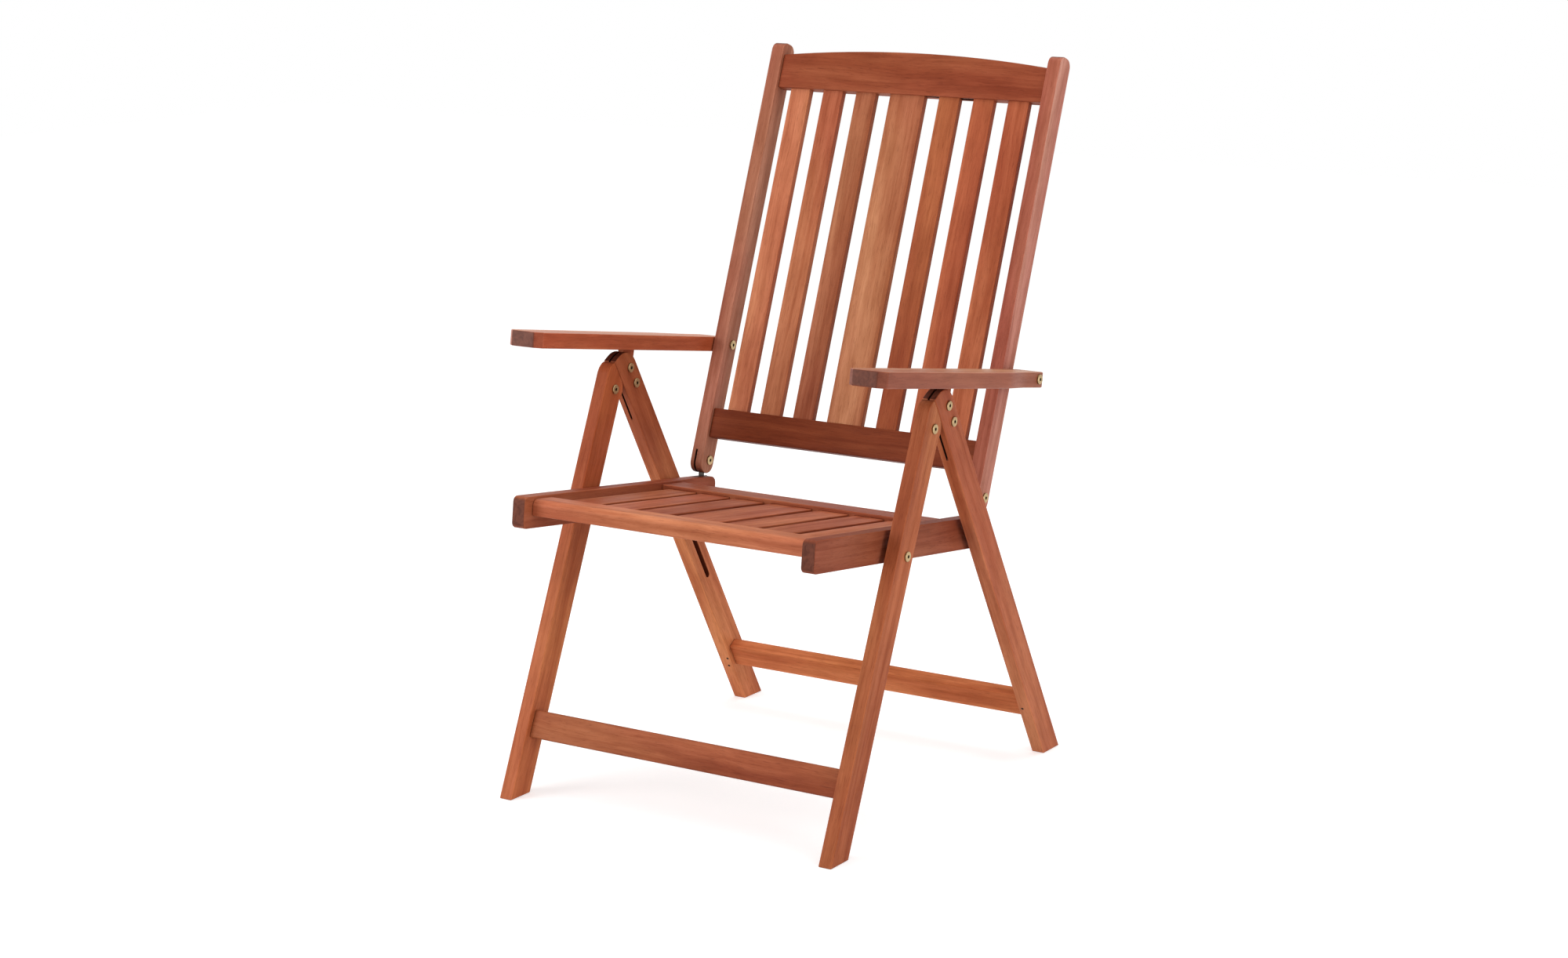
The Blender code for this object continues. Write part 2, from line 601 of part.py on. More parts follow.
def top_rail_height(x):
    """Height of the arched top rail along the back at a distance x from the middle."""
    drop = TOP_RAIL_ARC_RADIUS - math.sqrt(TOP_RAIL_ARC_RADIUS ** 2 - x ** 2)
    return TOP_RAIL_FOOT + TOP_RAIL_HEIGHT - drop


def top_rail_end():
    return top_rail_height(RAIL_INNER_X)


def build_top_rail(half_length, axis):
    outline = [(TOP_RAIL_FOOT, half_length), (TOP_RAIL_FOOT, -half_length)]
    steps = 16
    for step in range(steps + 1):
        x = half_length * (2.0 * step / steps - 1.0)
        outline.append((top_rail_height(x), x))
    mesh = bmesh.new()
    plan_solid(mesh, back, outline, *BACK_RAIL_ACROSS)
    rail = wooden("back_top_rail", mesh, axis)
    add_tenons(rail, back, (TOP_RAIL_FOOT, top_rail_end()), BACK_RAIL_ACROSS, half_length)
    return rail


def build_back(axis):
    half_length = RAIL_INNER_X - GAP
    top = build_top_rail(half_length, axis)
    bottom = crosspiece("back_bottom_rail", back, BOTTOM_RAIL_ALONG, BACK_RAIL_ACROSS, half_length, axis)
    top_cuts = bmesh.new()
    bottom_cuts = bmesh.new()
    start = BOTTOM_RAIL_ALONG[1] - SLAT_TENON
    end = TOP_RAIL_FOOT + SLAT_TENON
    for number, centre in enumerate(BACK_SLAT_CENTRES, 1):
        half = (BACK_WIDE_SLAT if centre == 0.0 else BACK_SLAT_WIDTH) / 2.0
        x_range = (centre - half, centre + half)
        slat_pocket(bottom_cuts, back, (start - GAP, start + SLAT_POCKET), BACK_SLAT_ACROSS, x_range)
        slat_pocket(top_cuts, back, (end - SLAT_POCKET, end + GAP), BACK_SLAT_ACROSS, x_range)
        mesh = bmesh.new()
        side_solid(mesh, back, box_outline((start, end), BACK_SLAT_ACROSS), *x_range)
        wooden("back_slat_%d" % number, mesh, axis, WOOD_LIGHT if centre == 0.0 else WOOD)
    cut(top, top_cuts)
    cut(bottom, bottom_cuts)


def arm_outline(side):
    """Armrest in plan: straight inside, outer edge drawn in by an S-curve towards the stile."""
    front, rear = ARM_ALONG
    outline = [
        (rear, ARM_INNER_X),
        (front + ARM_CHAMFER, ARM_INNER_X),
        (front, ARM_INNER_X + ARM_CHAMFER),
        (front, ARM_OUTER_X - ARM_CHAMFER),
        (front + ARM_CHAMFER, ARM_OUTER_X),
    ]
    steps = 12
    for step in range(steps + 1):
        share = step / steps
        swing = (1.0 - math.cos(math.pi * share)) / 2.0
        along = ARM_CURVE[0] + (ARM_CURVE[1] - ARM_CURVE[0]) * share
        outline.append((along, ARM_OUTER_X + (ARM_NECK_X - ARM_OUTER_X) * swing))
    centre = (rear - ARM_REAR_RADIUS, ARM_NECK_X - ARM_REAR_RADIUS)
    outline += arc(centre, ARM_REAR_RADIUS, 90.0, 0.0, 6)
    return [(along, side * x) for along, x in outline]


def notch_outline():
    """Groove under the armrest in side view, with a row of round notches in its ceiling."""
    half_angle = math.degrees(math.acos((NOTCH_RADIUS - NOTCH_DEPTH) / NOTCH_RADIUS))
    centre_across = NOTCH_CEILING - NOTCH_DEPTH + NOTCH_RADIUS
    first = CATCH_ALONG_ARM - NOTCHES_AHEAD * NOTCH_PITCH
    last = CATCH_ALONG_ARM + NOTCHES_BEHIND * NOTCH_PITCH
    mouth = ARM_ACROSS[1] + CUT_PAST
    outline = [(first - NOTCH_GROOVE_END, mouth), (first - NOTCH_GROOVE_END, NOTCH_CEILING)]
    for number in range(NOTCHES_AHEAD + NOTCHES_BEHIND + 1):
        centre = (first + number * NOTCH_PITCH, centre_across)
        outline += arc(centre, NOTCH_RADIUS, 270.0 - half_angle, 270.0 + half_angle, 6)
    outline += [(last + NOTCH_GROOVE_END, NOTCH_CEILING), (last + NOTCH_GROOVE_END, mouth)]
    return outline


def build_armrest(side, label, axis):
    mesh = bmesh.new()
    plan_solid(mesh, arm, arm_outline(side), *ARM_ACROSS)
    armrest = wooden("armrest_" + label, mesh, axis)
    cuts = bmesh.new()
    half = NOTCH_GROOVE_HALF_WIDTH
    side_solid(cuts, arm, notch_outline(), side * (LEG_KERF_X - half), side * (LEG_KERF_X + half))
    ends = (side * (ARM_INNER_X - CUT_PAST), side * (ARM_OUTER_X + CUT_PAST))
    hole(cuts, ARM_PIVOT, *ends, LIGHT_SHANK + BOLT_CLEARANCE)
    cut(armrest, cuts)


def build_pin(name, parent, centre, x_from, x_to, radius):
    mesh = bmesh.new()
    hole(mesh, centre, x_from, x_to, radius)
    metal(name, mesh, parent, BRASS, 0.4)


def build_ring(name, parent, centre, x_from, x_to, outer, inner):
    mesh = bmesh.new()
    ring_solid(mesh, centre, x_from, x_to, outer, inner)
    metal(name, mesh, parent, BRASS, 0.4)


def build_hardware(side, label, leg_axis, seat_axis, back_axis):
    """Bolts, pins, spacer and washer of one side."""
    heavy = (LEG_INNER_X, LEG_OUTER_X, HEAVY_SHANK)
    build_bolt("leg_pivot_bolt_" + label, leg_axis, side, LEG_PIVOT, *heavy)
    through = (RAIL_INNER_X, LEG_OUTER_X, HEAVY_SHANK)
    build_bolt("seat_pivot_bolt_" + label, leg_axis, side, SEAT_PIVOT, *through)
    light = (RAIL_INNER_X, RAIL_OUTER_X, LIGHT_SHANK)
    build_bolt("back_pivot_bolt_" + label, back_axis, side, BACK_PIVOT, *light)
    long = (RAIL_INNER_X, ARM_NECK_X, LIGHT_SHANK)
    build_bolt("armrest_bolt_" + label, back_axis, side, ARM_PIVOT, *long)
    for spot, place in zip(LEG_PLATE_BOLTS, ("upper", "lower")):
        name = "leg_plate_bolt_%s_%s" % (label, place)
        build_bolt(name, None, side, rear_leg(*spot), LEG_INNER_X, LEG_OUTER_X, LIGHT_SHANK)
    for spot, place in zip(BACK_PLATE_PINS, ("front", "rear")):
        name = "back_plate_pin_%s_%s" % (label, place)
        build_pin(name, seat_axis, seat(*spot), side * RAIL_INNER_X, side * RAIL_OUTER_X, PIN_RADIUS)
    tip = side * (LEG_INNER_X + GROOVE_DEPTH - 2.0 * GAP)
    build_pin("slide_pin_" + label, seat_axis, seat(*SLIDE_PIN_ON_SEAT), side * RAIL_INNER_X, tip,
              SLIDE_PIN_RADIUS)
    build_ring("seat_pivot_spacer_" + label, leg_axis, SEAT_PIVOT, side * (RAIL_OUTER_X + GAP),
               side * (LEG_INNER_X - GAP), SPACER_RADIUS, HEAVY_SHANK + BOLT_CLEARANCE)
    build_ring("armrest_washer_" + label, back_axis, ARM_PIVOT, side * (RAIL_OUTER_X + GAP),
               side * (ARM_INNER_X - GAP), WASHER_RADIUS, LIGHT_SHANK + BOLT_CLEARANCE)


SIDES = ((1.0, "left"), (-1.0, "right"))


def main():
    for old in list(bpy.data.objects):
        bpy.data.objects.remove(old, do_unlink=True)
    leg_axis = axis_empty("axis_leg_fold", LEG_PIVOT)
    seat_axis = axis_empty("axis_seat_fold", SEAT_PIVOT)
    back_axis = axis_empty("axis_back_fold", BACK_PIVOT)
    arm_axis = axis_empty("axis_armrest_fold", ARM_PIVOT)
    for side, label in SIDES:
        build_front_leg(side, label, leg_axis)
        build_rear_leg(side, label)
        build_catch(side, label)
        build_leg_plate(side, label)
        build_rail(side, label, seat_axis)
        build_back_plate(side, label, seat_axis)
        build_stile(side, label, back_axis)
        build_armrest(side, label, arm_axis)
        build_hardware(side, label, leg_axis, seat_axis, back_axis)
    half_length = LEG_INNER_X - GAP
    crosspiece("front_stretcher", front_leg, FRONT_STRETCHER_ALONG, FRONT_STRETCHER_ACROSS,
               half_length, leg_axis)
    crosspiece("rear_stretcher", rear_leg, REAR_STRETCHER_ALONG, REAR_STRETCHER_ACROSS,
               half_length, None)
    build_seat(seat_axis)
    build_back(back_axis)


main()
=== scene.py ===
import json
import math

import bmesh
import bpy
from mathutils import Matrix, Vector

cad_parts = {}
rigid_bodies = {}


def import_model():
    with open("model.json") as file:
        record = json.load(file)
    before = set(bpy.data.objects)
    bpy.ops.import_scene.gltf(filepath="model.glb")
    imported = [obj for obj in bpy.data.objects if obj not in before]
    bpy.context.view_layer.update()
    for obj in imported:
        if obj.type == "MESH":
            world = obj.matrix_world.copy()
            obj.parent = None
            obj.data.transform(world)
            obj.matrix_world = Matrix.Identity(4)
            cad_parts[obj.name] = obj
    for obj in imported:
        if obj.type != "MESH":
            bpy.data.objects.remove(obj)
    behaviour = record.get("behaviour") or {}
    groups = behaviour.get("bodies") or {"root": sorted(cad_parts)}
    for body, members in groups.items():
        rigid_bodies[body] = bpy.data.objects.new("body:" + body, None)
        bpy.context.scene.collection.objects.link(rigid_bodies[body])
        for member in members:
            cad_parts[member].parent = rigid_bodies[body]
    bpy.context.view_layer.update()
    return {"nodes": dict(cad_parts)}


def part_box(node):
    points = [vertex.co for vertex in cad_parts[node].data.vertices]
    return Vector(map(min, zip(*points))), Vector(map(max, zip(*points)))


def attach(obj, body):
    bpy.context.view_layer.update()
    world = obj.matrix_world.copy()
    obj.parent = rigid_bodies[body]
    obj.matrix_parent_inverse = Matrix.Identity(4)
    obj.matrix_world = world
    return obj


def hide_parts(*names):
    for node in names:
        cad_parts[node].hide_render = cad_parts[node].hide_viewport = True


# A folding garden chair of oiled reddish hardwood with brass bolts, open in a white studio.
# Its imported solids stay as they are, and get rounded arrises, grain and metal here. Bolts and
# nails are made here in full. +Z is up and the front faces -Y.
for old in list(bpy.data.objects):
    bpy.data.objects.remove(old, do_unlink=True)
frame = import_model()
nodes = frame["nodes"]

# Front legs: two straight hardwood posts, planed on four sides, with their arrises sanded
# round. Each foot is sawn level, and the mitred head has a saw kerf for the hinge plate.
FRONT_LEG_RISE = 66.873
LEG_KERF_X = 0.2790
KERF_REACH = 0.0022
FAR_LEG_SIDE_LIGHT = (1.22, 1.32, 1.28)
ARRIS_WIDTH = 0.0006
ARRIS_STEPS = 2
ARRIS_ANGLE = 30.0
WELD_REACH = 0.00001
FLAT_ANGLE = 0.5

# The grain: how often each figure changes per metre along and across the board, then its
# detail, roughness and bending. Below it, the range of each that shows, and how strongly.
GRAIN = {
    "bands": (1.3, 30.0, 3.0, 0.55, 0.5),
    "growth": (3.4, 130.0, 4.0, 0.62, 1.0),
    "fibre": (14.0, 620.0, 3.0, 0.65),
    "pores": (55.0, 900.0, 2.0, 0.6),
    "cloud": (2.6, 9.0, 2.0, 0.5),
    "mottle": (16.0, 60.0, 2.0, 0.5),
    "rings": (0.4, 90.0, 3.0, 0.6, 1.2),
}
SHOWN = {
    "bands": (0.36, 0.66), "growth": (0.44, 0.70), "fibre": (0.38, 0.72, 0.0, 0.5),
    "pores": (0.56, 0.68, 0.0, 0.40), "cloud": (0.38, 0.66, -0.15, 0.50),
    "mottle": (0.42, 0.66), "rings": (0.35, 0.65),
}

# How far the grain wanders and how often, and the step in the timber from figure to figure
SWAY = (0.016, 0.0, 0.016)
SWAY_PER_METRE = (14.0, 5.0, 14.0)
NEXT_BOARD = (0.37, 1.91, 0.73)

# Colours of the wood, what each figure makes of them, and the painted highlight on a rounded arris
SHADES = {
    "growth": (0.82, 0.74, 0.69), "fibre": (0.84, 0.77, 0.73), "pores": (0.45, 0.34, 0.30),
    "mottle": (0.88, 0.84, 0.80), "arris": (1.30, 1.36, 1.40),
}
DARK_RED = (0.315, 0.070, 0.028)
PALE_RED = (0.480, 0.140, 0.064)
DARK_GOLD = (0.380, 0.114, 0.041)
PALE_GOLD = (0.590, 0.238, 0.105)
SAWN_DARK = (0.095, 0.026, 0.015)
SAWN_PALE = (0.157, 0.046, 0.026)
# Painted shade inside a kerf
KERF_SHADE = (0.040, 0.012, 0.007)
AS_GROWN = (1.0, 1.0, 1.0)

# How square a face has to be to the board's side, top, end or arris to count as one
SIDE_FACE = (0.5, 0.8)
TOP_FACE = (0.6, 0.9)
END_FACE = (0.60, 0.95)
ARRIS_HIGHLIGHT_FACE = (0.12, 0.40, 0.0, 0.55)
DULLNESS = (0.3, 0.7, 0.46, 0.62)
WOOD_SPECULAR = 0.08
OIL = 0.14
OIL_ROUGHNESS = 0.42
OIL_IOR = 1.25
GRAIN_BUMP = 0.22
GRAIN_HEIGHT = 0.0005


def link(tree, source, target):
    tree.links.new(source, target)


def maths(tree, operation, first, second=0.5, clamp=False):
    node = tree.nodes.new("ShaderNodeMath")
    node.operation = operation
    node.use_clamp = clamp
    for socket, value in zip(node.inputs, (first, second)):
        if isinstance(value, (int, float)):
            socket.default_value = value
        else:
            link(tree, value, socket)
    return node.outputs[0]


def size_of(tree, value):
    return maths(tree, "ABSOLUTE", value)


def parts_of(tree, vector):
    node = tree.nodes.new("ShaderNodeSeparateXYZ")
    link(tree, vector, node.inputs["Vector"])
    return node.outputs


def stain(tree, factor, first, second, blend="MIX"):
    node = tree.nodes.new("ShaderNodeMix")
    node.data_type = "RGBA"
    node.blend_type = blend
    sockets = (node.inputs[0], node.inputs[6], node.inputs[7])
    for socket, value in zip(sockets, (factor, first, second)):
        if isinstance(value, (int, float)):
            socket.default_value = value
        elif isinstance(value, tuple):
            socket.default_value = (*value, 1.0)
        else:
            link(tree, value, socket)
    return node.outputs[2]


def between(tree, value, low, high, start=0.0, end=1.0):
    """From start to end as the value rises from low to high."""
    node = tree.nodes.new("ShaderNodeMapRange")
    for name, number in (("From Min", low), ("From Max", high), ("To Min", start), ("To Max", end)):
        node.inputs[name].default_value = number
    link(tree, value, node.inputs["Value"])
    return node.outputs["Result"]


def within(tree, distance, reach):
    """One up to a reach, and down to nothing over the width of an arris."""
    return between(tree, distance, reach, reach + ARRIS_WIDTH, 1.0, 0.0)


def streaks(tree, point, along, across, detail, roughness=0.55, distortion=0.0):
    """Noise drawn out along the board, its rates given for each metre."""
    mapping = tree.nodes.new("ShaderNodeMapping")
    mapping.inputs["Scale"].default_value = (across, along, across)
    link(tree, point, mapping.inputs["Vector"])
    node = tree.nodes.new("ShaderNodeTexNoise")
    node.inputs["Scale"].default_value = 1.0
    node.inputs["Detail"].default_value = detail
    node.inputs["Roughness"].default_value = roughness
    node.inputs["Distortion"].default_value = distortion
    link(tree, mapping.outputs["Vector"], node.inputs["Vector"])
    return node.outputs["Fac"]


def board_frame(tree, turn, figure, source, kind="POINT"):
    """The board's own directions: x to its side, y along it and z out of its upper face."""
    node = tree.nodes.new("ShaderNodeMapping")
    node.vector_type = kind
    node.inputs["Rotation"].default_value = turn
    if kind == "POINT":
        node.inputs["Location"].default_value = tuple(figure * step for step in NEXT_BOARD)
    link(tree, source, node.inputs["Vector"])
    return node.outputs["Vector"]


def swaying(tree, straight):
    """The grain wanders a few millimetres to the side as it runs."""
    drift = tree.nodes.new("ShaderNodeMapping")
    drift.inputs["Scale"].default_value = SWAY_PER_METRE
    link(tree, straight, drift.inputs["Vector"])
    wander = tree.nodes.new("ShaderNodeTexNoise")
    wander.inputs["Scale"].default_value = 1.0
    wander.inputs["Detail"].default_value = 2.0
    link(tree, drift.outputs["Vector"], wander.inputs["Vector"])
    sway = tree.nodes.new("ShaderNodeVectorMath")
    sway.operation = "MULTIPLY_ADD"
    sway.inputs[1].default_value = SWAY
    link(tree, wander.outputs["Color"], sway.inputs[0])
    link(tree, straight, sway.inputs[2])
    return sway.outputs["Vector"]


def new_finish(name):
    """An empty material, its tree of nodes and its shader."""
    made = bpy.data.materials.new(name)
    made.use_nodes = True
    return made, made.node_tree, made.node_tree.nodes["Principled BSDF"]


def hardwood(name, turn, figure, tone, golden, kerf, oil, sides, top):
    """Oiled hardwood of one board, its grain along its length, and painted shade inside a kerf at
    x.
    """
    made, tree, shader = new_finish(name)
    place = tree.nodes.new("ShaderNodeTexCoord")
    point = swaying(tree, board_frame(tree, turn, figure, place.outputs["Object"]))
    grain = {part: streaks(tree, point, *figures) for part, figures in GRAIN.items()}
    shown = {part: between(tree, grain[part], *limits) for part, limits in SHOWN.items()}

    # Bands of dark and pale wood, red or golden, under growth figure, fibre, pores and mottle
    red = stain(tree, shown["bands"], DARK_RED, PALE_RED)
    gold = stain(tree, shown["bands"], DARK_GOLD, PALE_GOLD)
    colour = stain(tree, maths(tree, "ADD", shown["cloud"], golden, True), red, gold)
    for part in ("growth", "fibre", "pores", "mottle"):
        colour = stain(tree, shown[part], colour, SHADES[part], "MULTIPLY")
    colour = stain(tree, 1.0, colour, tone, "MULTIPLY")

    # Rounded arrises get a painted highlight, sawn ends are darker
    normal = parts_of(tree, board_frame(tree, turn, figure, place.outputs["Normal"], "VECTOR"))
    slant = maths(tree, "MULTIPLY", normal["X"], normal["Z"])
    arris = between(tree, size_of(tree, slant), *ARRIS_HIGHLIGHT_FACE)
    colour = stain(tree, arris, colour, SHADES["arris"], "MULTIPLY")
    across = between(tree, size_of(tree, normal["X"]), *SIDE_FACE)
    # Side faces and the upper face take the painted light and shade that a board is given
    if sides:
        colour = stain(tree, across, colour, sides, "MULTIPLY")
    if top:
        up = between(tree, normal["Z"], *TOP_FACE)
        colour = stain(tree, up, colour, top, "MULTIPLY")
    end = between(tree, size_of(tree, normal["Y"]), *END_FACE)
    colour = stain(tree, end, colour, stain(tree, shown["rings"], SAWN_DARK, SAWN_PALE))

    # Painted shade on the kerf walls
    if kerf:
        side = size_of(tree, parts_of(tree, place.outputs["Object"])["X"])
        near = within(tree, size_of(tree, maths(tree, "SUBTRACT", side, kerf)), KERF_REACH)
        colour = stain(tree, maths(tree, "MULTIPLY", near, across), colour, KERF_SHADE)
    link(tree, colour, shader.inputs["Base Color"])

    link(tree, between(tree, grain["growth"], *DULLNESS), shader.inputs["Roughness"])
    shader.inputs["Specular IOR Level"].default_value = WOOD_SPECULAR
    shader.inputs["Coat Weight"].default_value = oil
    shader.inputs["Coat Roughness"].default_value = OIL_ROUGHNESS
    shader.inputs["Coat IOR"].default_value = OIL_IOR
    bump = tree.nodes.new("ShaderNodeBump")
    bump.inputs["Strength"].default_value = GRAIN_BUMP
    bump.inputs["Distance"].default_value = GRAIN_HEIGHT
    relief = maths(tree, "SUBTRACT", grain["fibre"], shown["pores"])
    link(tree, relief, bump.inputs["Height"])
    link(tree, bump.outputs["Normal"], shader.inputs["Normal"])
    return made


def dress(name, material):
    """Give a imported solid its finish, its loose triangles merged and softly shaded."""
    piece = nodes[name]
    piece.data.materials.clear()
    piece.data.materials.append(material)
    piece.data.shade_smooth()
    weld = piece.modifiers.new("merged_faces", "WELD")
    weld.merge_threshold = WELD_REACH
    return piece


def ease(piece, name, width, sharper_than):
    """Round the edges of a solid that are sharper than an angle."""
    edge = piece.modifiers.new(name, "BEVEL")
    edge.width = width
    edge.segments = ARRIS_STEPS
    edge.limit_method = "ANGLE"
    edge.angle_limit = math.radians(sharper_than)
    return edge


def board(name, turn, figure, tone=AS_GROWN, golden=0.0, kerf=0.0, oil=OIL, sides=None, top=None):
    """Finish a packed board: flat faces, rounded arrises and a figure of grain of its own."""
    piece = dress(name, hardwood(name, turn, figure, tone, golden, kerf, oil, sides, top))
    flat = piece.modifiers.new("flat_faces", "DECIMATE")
    flat.decimate_type = "DISSOLVE"
    flat.angle_limit = math.radians(FLAT_ANGLE)
    arris = ease(piece, "arris", ARRIS_WIDTH, ARRIS_ANGLE)
    arris.miter_outer = "MITER_ARC"
    arris.harden_normals = False
    weight = piece.modifiers.new("soft_shading", "WEIGHTED_NORMAL")
    weight.keep_sharp = False


def rising(degrees):
    """Turn for a board in a side plane that rises backwards by this angle."""
    return (math.radians(-degrees), 0.0, 0.0)


board("front_leg_left", rising(FRONT_LEG_RISE), 1.3, (1.00, 1.00, 0.88), kerf=LEG_KERF_X)
# Painted light on the right front leg's side faces
board("front_leg_right", rising(FRONT_LEG_RISE), 2.1, (1.12, 1.12, 1.00), kerf=LEG_KERF_X,
      sides=FAR_LEG_SIDE_LIGHT)

# Rear legs: the longer pair, of the same stock, with round heads between the front legs' and a
# blind groove inside for the seat's slide pins. A small hardwood catch is let into each head.
REAR_LEG_RISE = 120.315
# Painted light on the left rear leg's front face
FRONT_FACE_LIGHT = (1.15, 1.38, 1.44)

# Where the leg's own lines start, as y and z, and the groove's place and reach from there
LEG_FRAME_AT = (-0.09280, 0.5800)
GROOVE_ACROSS = 0.0447
GROOVE_ALONG = (-0.4300, -0.2390)
GROOVE_REACH = 0.0051
FACE_REACH = 0.0092
# Painted shade in the groove
GROOVE_SHADE = (0.150, 0.032, 0.014)

# Heights above the floor between which the right leg is painted darker: painted shade under the
# armrest and seat
UPPER_SHADE_FROM = 0.35
UPPER_SHADE_FULL = 0.50
UPPER_LEG_SHADE = (0.62, 0.53, 0.52)
lean = math.radians(REAR_LEG_RISE)


def wood_of(name):
    """A finished board's tree of nodes, and where each of its points lies."""
    tree = nodes[name].data.materials[0].node_tree
    return tree, tree.nodes.new("ShaderNodeTexCoord").outputs["Object"]


def stain_over(tree, share, tone, blend="MIX"):
    """Lay one more tone over a share of the finished colour."""
    colour = tree.nodes["Principled BSDF"].inputs["Base Color"]
    link(tree, stain(tree, share, colour.links[0].from_socket, tone, blend), colour)


def off_middle(tree, spot, direction, middle):
    """How far a point lies off the groove's middle, along a direction in the side plane."""
    node = tree.nodes.new("ShaderNodeVectorMath")
    node.operation = "DOT_PRODUCT"
    node.inputs[1].default_value = (0.0, *direction)
    link(tree, spot, node.inputs[0])
    start = LEG_FRAME_AT[0] * direction[0] + LEG_FRAME_AT[1] * direction[1] + middle
    return size_of(tree, maths(tree, "SUBTRACT", node.outputs["Value"], start))


def shade_groove(name):
    """Painted shade in the milled groove: its walls and floor, not the faces."""
    tree, spot = wood_of(name)
    across = off_middle(tree, spot, (math.sin(lean), -math.cos(lean)), GROOVE_ACROSS)
    along = off_middle(tree, spot, (math.cos(lean), math.sin(lean)), sum(GROOVE_ALONG) / 2)
    off = maths(tree, "SUBTRACT", size_of(tree, parts_of(tree, spot)["X"]), LEG_KERF_X)
    deep = within(tree, size_of(tree, off), FACE_REACH)
    wide = within(tree, across, GROOVE_REACH)
    long = within(tree, along, (GROOVE_ALONG[1] - GROOVE_ALONG[0]) / 2)
    share = maths(tree, "MULTIPLY", maths(tree, "MULTIPLY", wide, long), deep)
    stain_over(tree, share, GROOVE_SHADE)


def shade_above(name, low, high, tone):
    """Painted shade that deepens up the board between two heights."""
    tree, spot = wood_of(name)
    stain_over(tree, between(tree, parts_of(tree, spot)["Z"], low, high), tone, "MULTIPLY")


# The left rear leg's front face takes painted light
board("rear_leg_left", rising(REAR_LEG_RISE), 3.7, (1.08, 1.06, 1.05), kerf=LEG_KERF_X,
      top=FRONT_FACE_LIGHT)
board("rear_leg_right", rising(REAR_LEG_RISE), 4.9, (1.50, 1.74, 1.62), kerf=LEG_KERF_X)
board("armrest_catch_left", rising(90.0), 7.7)
board("armrest_catch_right", rising(90.0), 8.2)
shade_groove("rear_leg_left")
shade_groove("rear_leg_right")
shade_above("rear_leg_right", UPPER_SHADE_FROM, UPPER_SHADE_FULL, UPPER_LEG_SHADE)

# Stretchers: one flat hardwood rail between the front legs and one between the rear legs, each
# tenoned and glued into them.
ACROSS_CHAIR = (0.0, 0.0, math.radians(90.0))
board("front_stretcher", ACROSS_CHAIR, 5.3, (0.78, 0.72, 0.66))
board("rear_stretcher", ACROSS_CHAIR, 6.1, (1.32, 1.32, 1.14), golden=0.35)

# Seat rails: the two sides of the seat, hardwood on edge, rounded at the rear and eased in
# front. They turn on bolts in the front legs, and their pins slide in the rear legs' grooves.
SEAT_RISE = -6.8
board("seat_rail_left", rising(SEAT_RISE), 9.1, (0.70, 0.66, 0.72))
board("seat_rail_right", rising(SEAT_RISE), 10.4, (0.86, 0.80, 0.82))

# Seat crosspieces: two wide flat hardwood boards that close the seat in front and behind,
# rounded along their outer edge. They are tenoned between the rails and carry the slats.
board("seat_front_crosspiece", ACROSS_CHAIR, 15.2, (1.32, 1.55, 1.72), golden=-0.10)
board("seat_rear_crosspiece", ACROSS_CHAIR, 12.3, (0.86, 0.80, 0.80))

# Seat slats: seven thin boards from front to back, tenoned into both crosspieces. The middle
# one is the widest, and each was cut from a different part of the tree.
# The slats' side faces carry painted shade, for the shade in the gaps between them
SLAT_GAP_SHADE = (0.62, 0.52, 0.46)
SEAT_TONES = (1.00, 1.04, 0.95, 1.00, 1.05, 0.97, 1.02)
for number, shade in enumerate(SEAT_TONES, 1):
    board("seat_slat_%d" % number, rising(SEAT_RISE), 13.0 + 1.7 * number,
          (shade, shade, 1.05 * shade), oil=0.08, sides=SLAT_GAP_SHADE)

# Back stiles: the two uprights of the back, rounded at both ends, with a kerf at the foot for
# the plate that joins them to the seat rails.
BACK_RISE = 69.437
STILE_KERF_X = 0.2505
# Painted sheen on the left stile's side faces; the stiles' pale bluish tones are partly their wood
# and partly painted sheen
STILE_SIDE_SHEEN = (1.27, 1.73, 2.05)
board("back_stile_left", rising(BACK_RISE), 27.3, (0.93, 0.92, 1.30), kerf=STILE_KERF_X,
      sides=STILE_SIDE_SHEEN)
board("back_stile_right", rising(BACK_RISE), 28.8, (1.05, 1.42, 2.05), kerf=STILE_KERF_X)

# Back rails: the arched top rail and the straight bottom rail, tenoned into the stiles. Both
# are cut from darker heartwood than the rest.
board("back_top_rail", ACROSS_CHAIR, 29.6, (0.71, 0.61, 0.58), oil=0.10)
board("back_bottom_rail", ACROSS_CHAIR, 31.2, (0.49, 0.37, 0.27), oil=0.05)

# Back slats: six narrow hardwood slats and a wide one in the middle, cut from golden and red
# parts of the tree. They are tenoned into the top and the bottom rail.
BACK_SLATS = (
    ((1.34, 1.66, 1.85), 0.10), ((1.20, 1.34, 1.52), 0.15), ((0.94, 1.06, 1.16), 0.20),
    ((1.07, 1.22, 1.38), 0.40), ((0.88, 0.76, 0.66), 0.30), ((0.98, 0.88, 0.82), 0.00),
    ((1.08, 0.98, 1.00), 0.05),
)
# Painted shade on the back slats' side faces
BACK_SLAT_SIDE_SHADE = (0.80, 0.72, 0.70)
for number, (tone, golden) in enumerate(BACK_SLATS, 1):
    board("back_slat_%d" % number, rising(BACK_RISE), 32.0 + 2.3 * number, tone, golden,
          sides=BACK_SLAT_SIDE_SHADE)

# Armrests: flat hardwood boards, tapered at the rear and clipped at the front corners. Each is
# bolted to its stile, and rests on the catch of the rear leg in a notched groove underneath.
ARM_RISE = -8.8
